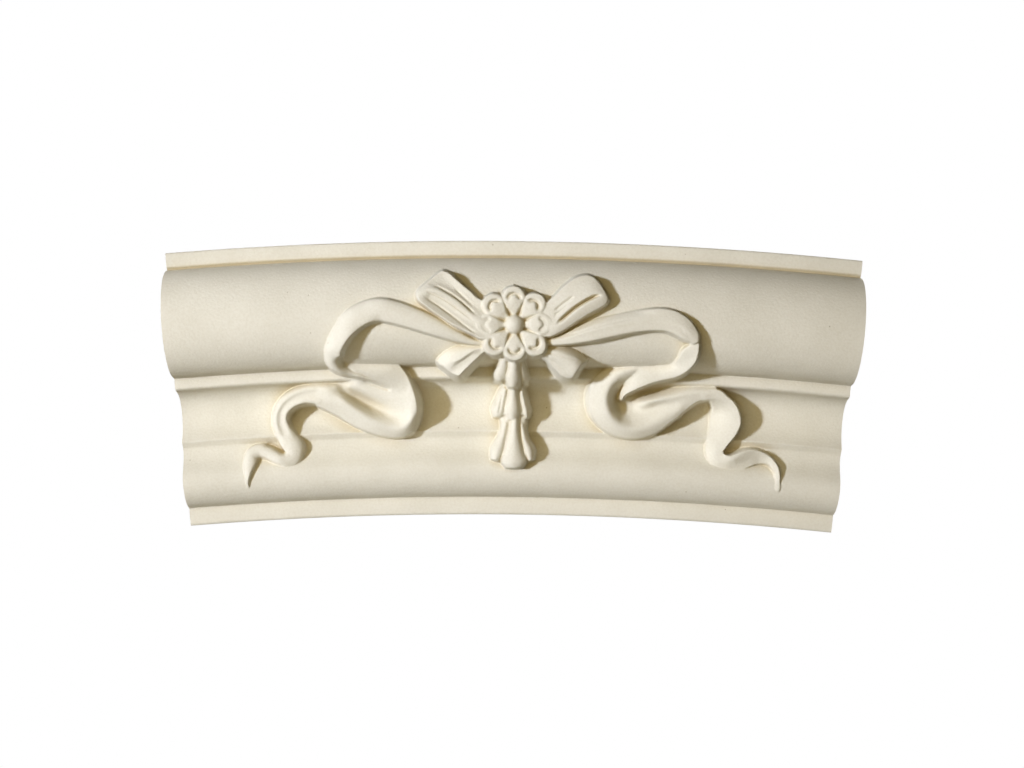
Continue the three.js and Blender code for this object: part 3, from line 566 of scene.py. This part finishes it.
def lay_rosette(field):
    """Spoon-shaped petals round a boss, on a round bed."""
    dx = ALONG[None, :] - BOW_ALONG
    dy = UP[:, None] - BOW_UP
    radius = np.hypot(dx, dy)
    bearing = np.arctan2(dx, dy)
    bed = ROSETTE["bed_height"] - WALL_SLOPE * np.maximum(radius - ROSETTE["bed_radius"], 0)
    field[:] = np.maximum(field, bed)
    for i, length in enumerate(PETAL["lengths"]):
        middle = 2 * math.pi * i / len(PETAL["lengths"]) + math.radians(ROSETTE["turn"])
        out = radius * np.cos(bearing - middle)
        across = np.abs(radius * np.sin(bearing - middle))
        widest = PETAL["widest_share"] * length
        round_end = np.sqrt(np.clip(1 - ((out - widest) / (length - widest)) ** 2, 0, 1))
        taper = np.clip(out / widest, 0.1, 1) ** PETAL["taper"]
        half = np.maximum(PETAL["half_width"] * np.where(out < widest, taper, round_end), 0.01)
        inside = half - across
        past_tongue = out - PETAL["tongue_share"] * length
        tongue = np.hypot(past_tongue, across)
        ahead = np.clip((past_tongue / np.maximum(tongue, 0.1) + 0.2) / 0.7, 0, 1)
        ring = np.exp(-((tongue - PETAL["tongue_radius"]) / PETAL["crescent_width"]) ** 2)
        crescent = ahead * ahead * (3 - 2 * ahead) * ring * np.clip(inside / 2, 0, 1)
        inward = np.clip((PETAL["neck_share"] * length - out) / (PETAL["neck_run"] * length), 0, 1)
        neck = inward * inward * (3 - 2 * inward)
        height = (PETAL["rim_height"]
                  - PETAL["crescent_depth"] * crescent - PETAL["neck_depth"] * neck
                  + PETAL["tongue_rise"] * np.exp(-(tongue / PETAL["tongue_radius"]) ** 2)
                  - PETAL["rim_drop"] * np.exp(-(inside / PETAL["rim_width"]) ** 2))
        outside = (np.maximum(-inside, 0) + np.maximum(out - length, 0)
                   + np.maximum(PETAL["root"] - out, 0))
        field[:] = np.maximum(field, np.where(out > 0, height - WALL_SLOPE * outside, 0))
    dome = np.sqrt(np.clip(1 - (radius / ROSETTE["boss_radius"]) ** 2, 0, None))
    boss = ROSETTE["boss_height"] - ROSETTE["boss_rise"] * (1 - dome)
    field[:] = np.maximum(field, np.where(radius < ROSETTE["boss_radius"], boss, 0))


def press(field, points, width, depth):
    """Presses a groove along points from the bow's centre, faded at its ends. A negative depth
    raises a ridge."""
    points = np.array(points, float) + (BOW_ALONG, BOW_UP)
    knots = np.concatenate([[0], np.cumsum(np.hypot(*np.diff(points, axis=0).T))])
    places = np.linspace(0, knots[-1], max(6, int(knots[-1] / PATH_STEP)))
    path = through(knots, points, places)
    nearest, place, _, _ = trace(path, GROOVE_REACH * width)
    touched = np.isfinite(nearest)
    share = place[touched] / (len(path) - 1)
    fade = np.clip(np.minimum(share, 1 - share) * GROOVE_FADE, 0, 1)
    field[touched] -= depth * fade * (3 - 2 * fade) * fade * np.exp(-nearest[touched] / width ** 2)


# Creases and folds: points from the bow's centre, half width and depth.
GROOVES = [
    ([(34, 0), (42, 8), (50, 15), (58, 20.5), (65, 24.3), (72, 26.5)], 1.2, 6.0),
    ([(32, 11), (40, 18), (49, 25)], 1.1, 1.4),
    ([(32, 7), (38, 12.5), (44, 18)], 0.9, 1.0),
    ([(-30, 6.5), (-37, 13), (-45, 20.2), (-54.5, 26.8), (-63, 31.2), (-69, 32)], 0.9, 2.4),
    ([(-33, 14.5), (-38, 19), (-44, 25), (-50, 31)], 1.1, 1.0),
    ([(-33, 2.5), (-45, 11.8), (-56, 19.8), (-65.5, 25), (-72, 27), (-75.5, 25.8)], 0.8, 1.7),
    ([(-75.5, 25.2), (-70, 20.8), (-62, 15.3), (-54, 9.3), (-47, 3.8), (-40, -1.8),
      (-33, -6.5), (-28, -9)], 0.8, 1.7),
    ([(-130, -44.6), (-125, -46.6), (-118, -49.4), (-109, -52.8), (-104, -54.5)], 1.6, 2.6),
    ([(36, -10), (50, -6.5), (60, -3), (75, 2), (90, 6), (104, 9)], 1.2, 1.1),
    ([(-218, -96.5), (-211, -98.5), (-205, -102), (-199.5, -106)], 1.6, 3.0),
    ([(-30, -19.5), (-37, -23.6), (-45, -28.9), (-53, -32.2)], 1.0, -0.7),
    ([(-32, -23), (-40, -28.6), (-50, -35)], 1.0, 0.8),
    ([(22, -22), (30, -23.5), (40, -26), (54, -29)], 1.0, 0.9),
    ([(30, -28), (38, -33.4), (46, -39.6)], 1.0, 0.9),
    ([(-9, -55), (-11, -66), (-13, -77)], 0.8, 1.2)]


def placed(stations):
    """Stations from the rosette's centre, moved to their places on the grid."""
    return [(BOW_ALONG + along, BOW_UP + up, half, height, section)
            for along, up, half, height, section in stations]


def relief():
    """The whole face as heights above the back."""
    field = np.repeat(ground(UP)[:, None], COLUMNS, axis=1)
    for strip in STRIPS:
        lay(field, placed(strip))
    for lobe in BELL_LOBES:
        lay(field, placed(lobe))
    for edge, threads in SHEETS:
        sheet(field, edge, threads)
    lay_rosette(field)
    for points, width, depth in GROOVES:
        press(field, points, width, depth)
    return blur(field, SOFTENING)


def wrapped(along, up, height):
    """Places on the flat drawing as places on the ring, in metres."""
    angle = along / MIDDLE_RADIUS
    radius = MIDDLE_RADIUS + up
    places = [radius * np.sin(angle), -height, radius * np.cos(angle) - MIDDLE_RADIUS]
    return np.stack(places, axis=-1) * MM


def closed_mesh(name, field):
    """The face with its four sides and its flat back, as one closed mesh."""
    along, up = np.meshgrid(ALONG, UP)
    top = wrapped(along, up, field).reshape(-1, 3)
    zero = np.zeros(COLUMNS)
    outer = wrapped(ALONG, zero + UP[0], zero)
    inner = wrapped(ALONG, zero + UP[-1], zero)
    vertices = np.vstack([top, outer, inner])
    grid = np.arange(ROWS * COLUMNS).reshape(ROWS, COLUMNS)
    back_outer = ROWS * COLUMNS + np.arange(COLUMNS)
    back_inner = back_outer + COLUMNS

    def quads(first, second):
        """Quads between two rows of corners, seen with the first row above."""
        return np.column_stack([first[:-1], second[:-1], second[1:], first[1:]])

    faces = [quads(grid[row], grid[row + 1]) for row in range(ROWS - 1)]
    faces += [
        quads(back_outer, grid[0]), quads(grid[-1], back_inner), quads(back_inner, back_outer)]
    quad_corners = np.vstack(faces)
    left = np.concatenate([grid[::-1, 0], [back_outer[0], back_inner[0]]])
    right = np.concatenate([grid[:, -1], [back_inner[-1], back_outer[-1]]])
    corners = np.concatenate([quad_corners.ravel(), left, right])
    sizes = np.concatenate([np.full(len(quad_corners), 4), [len(left), len(right)]])
    starts = np.concatenate([[0], np.cumsum(sizes)[:-1]])
    mesh = bpy.data.meshes.new(name)
    mesh.vertices.add(len(vertices))
    mesh.vertices.foreach_set("co", vertices.ravel().astype(np.float32))
    mesh.loops.add(len(corners))
    mesh.loops.foreach_set("vertex_index", corners.astype(np.int32))
    mesh.polygons.add(len(sizes))
    mesh.polygons.foreach_set("loop_start", starts.astype(np.int32))
    mesh.update(calc_edges=True)
    mesh.validate()
    return mesh


def applied(piece, modifier_type, **settings):
    """Adds a modifier to a piece, sets it and applies it."""
    modifier = piece.modifiers.new(modifier_type.lower(), modifier_type)
    for key, value in settings.items():
        setattr(modifier, key, value)
    graph = bpy.context.evaluated_depsgraph_get()
    mesh = bpy.data.meshes.new_from_object(piece.evaluated_get(graph))
    piece.modifiers.clear()
    piece.data = mesh


def build_moulding():
    """The casting as one piece."""
    piece = bpy.data.objects.new("moulding_casting", closed_mesh("moulding_casting", relief()))
    bpy.context.scene.collection.objects.link(piece)
    triangles = 2 * len(piece.data.polygons)
    if triangles > MOST_TRIANGLES:
        applied(piece, "TRIANGULATE")
        applied(piece, "DECIMATE", ratio=MOST_TRIANGLES / len(piece.data.polygons))
    piece.data.shade_smooth()
    piece.data.set_sharp_from_angle(angle=math.radians(SHARP_ANGLE))
    return piece


def cream_material():
    """Matte cream casting: mottling, fine grain, a few pinholes and painted shade, warmer and
    darker, in its hollows.
    """
    material = bpy.data.materials.new("cream_casting")
    material.use_nodes = True
    nodes, links = material.node_tree.nodes, material.node_tree.links
    shader = nodes["Principled BSDF"]
    shader.inputs["Roughness"].default_value = 0.75
    shader.inputs["Specular IOR Level"].default_value = 0.25
    place = nodes.new("ShaderNodeTexCoord")

    def noise(scale, detail):
        """A noise texture over the object, in features to the metre."""
        node = nodes.new("ShaderNodeTexNoise")
        node.inputs["Scale"].default_value = scale
        node.inputs["Detail"].default_value = detail
        links.new(place.outputs["Object"], node.inputs["Vector"])
        return node.outputs["Fac"]

    def ramp(value, stops):
        """A ramp of (position, colour) stops."""
        node = nodes.new("ShaderNodeValToRGB")
        for element, (position, colour) in zip(node.color_ramp.elements, stops):
            element.position = position
            element.color = (*colour, 1)
        links.new(value, node.inputs["Fac"])
        return node.outputs["Color"]

    def multiplied(first, second):
        """Two colours multiplied."""
        node = nodes.new("ShaderNodeMix")
        node.data_type = "RGBA"
        node.blend_type = "MULTIPLY"
        node.inputs["Factor"].default_value = 1
        links.new(first, node.inputs[6])
        links.new(second, node.inputs[7])
        return node.outputs[2]

    mottle = ramp(noise(28, 4), [(0.3, (0.775, 0.735, 0.605)), (0.7, (0.825, 0.785, 0.655))])
    speckle = ramp(noise(520, 3), [(0.3, (0.955, 0.945, 0.925)), (0.62, (1, 1, 1))])
    # Painted shade: ambient occlusion makes the base colour warmer and darker in hollows, creases
    # and at the feet of the relief.
    painted_shade_occlusion = nodes.new("ShaderNodeAmbientOcclusion")
    painted_shade_occlusion.samples = 8
    painted_shade_occlusion.only_local = True
    painted_shade_occlusion.inputs["Distance"].default_value = 0.012
    links.new(nodes.new("ShaderNodeNewGeometry").outputs["True Normal"], painted_shade_occlusion.inputs["Normal"])
    painted_hollow_shade = ramp(painted_shade_occlusion.outputs["AO"], [(0.2, (0.74, 0.67, 0.53)), (0.88, (1, 1, 1))])
    cells = nodes.new("ShaderNodeTexVoronoi")
    cells.inputs["Scale"].default_value = 48
    links.new(place.outputs["Object"], cells.inputs["Vector"])
    pits = ramp(cells.outputs["Distance"], [(0.018, (0.6, 0.55, 0.45)), (0.034, (1, 1, 1))])
    colour = multiplied(multiplied(multiplied(mottle, speckle), painted_hollow_shade), pits)
    links.new(colour, shader.inputs["Base Color"])
    grain = nodes.new("ShaderNodeBump")
    grain.inputs["Strength"].default_value = 0.8
    grain.inputs["Distance"].default_value = 0.0004
    links.new(noise(430, 5), grain.inputs["Height"])
    links.new(grain.outputs["Normal"], shader.inputs["Normal"])
    return material


def area_light(name, place, target, size, power, colour, spread=180):
    """A soft light that faces a target."""
    data = bpy.data.lights.new(name, "AREA")
    data.shape = "DISK"
    data.size = size
    data.energy = power
    data.color = colour
    data.spread = math.radians(spread)
    lamp = bpy.data.objects.new(name, data)
    lamp.location = place
    lamp.rotation_euler = (Vector(target) - Vector(place)).to_track_quat("-Z", "Y").to_euler()
    bpy.context.scene.collection.objects.link(lamp)


def light_and_camera():
    """Studio light from the left, a surround that only the camera sees as white, a floor below the
    picture and the camera in front."""
    scene = bpy.context.scene
    scene.view_settings.view_transform = "Standard"
    scene.view_settings.look = "None"
    toward = np.array(KEY_DIRECTION) / np.linalg.norm(KEY_DIRECTION)
    area_light(
        "key", place=tuple(KEY_DISTANCE * toward), target=(-0.07, 0, 0), size=0.48, power=4.9,
        colour=(0.77, 0.83, 1.0), spread=24)
    area_light(
        "fill", place=(-0.8, -2.2, 0.45), target=(-0.05, 0, 0), size=2.2, power=19,
        colour=(1, 0.79, 0.38))
    area_light(
        "back", place=(0.8, 1.6, 1.0), target=(0, 0, 0), size=1.0, power=20,
        colour=(1, 0.98, 0.92))
    world = bpy.data.worlds.new("studio")
    scene.world = world
    world.use_nodes = True
    nodes, links = world.node_tree.nodes, world.node_tree.links
    background = nodes["Background"]
    background.inputs["Color"].default_value = SURROUND["colour"]
    background.inputs["Strength"].default_value = SURROUND["strength"]
    white = nodes.new("ShaderNodeBackground")
    white.inputs["Color"].default_value = (1, 1, 1, 1)
    white.inputs["Strength"].default_value = 1.0
    path = nodes.new("ShaderNodeLightPath")
    mix = nodes.new("ShaderNodeMixShader")
    links.new(path.outputs["Is Camera Ray"], mix.inputs["Fac"])
    links.new(background.outputs[0], mix.inputs[1])
    links.new(white.outputs[0], mix.inputs[2])
    links.new(mix.outputs[0], nodes["World Output"].inputs["Surface"])

    bpy.ops.mesh.primitive_circle_add(
        vertices=64, radius=FLOOR["radius"], fill_type="NGON", location=(0, 0, -FLOOR["below"]))
    floor = bpy.context.active_object
    floor.name = "floor"
    floor_material = bpy.data.materials.new("floor")
    floor_material.use_nodes = True
    floor_shader = floor_material.node_tree.nodes["Principled BSDF"]
    floor_shader.inputs["Base Color"].default_value = FLOOR["colour"]
    floor.data.materials.append(floor_material)

    data = bpy.data.cameras.new("camera")
    data.lens = CAMERA["lens"]
    data.sensor_width = CAMERA["sensor_width"]
    camera = bpy.data.objects.new("camera", data)
    camera.location = CAMERA["place"]
    camera.rotation_euler = (math.pi / 2, math.radians(CAMERA["roll"]), 0)
    scene.collection.objects.link(camera)
    scene.camera = camera


moulding = build_moulding()
moulding.data.materials.append(cream_material())
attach(moulding, BODY)
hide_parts(NODE)
light_and_camera()
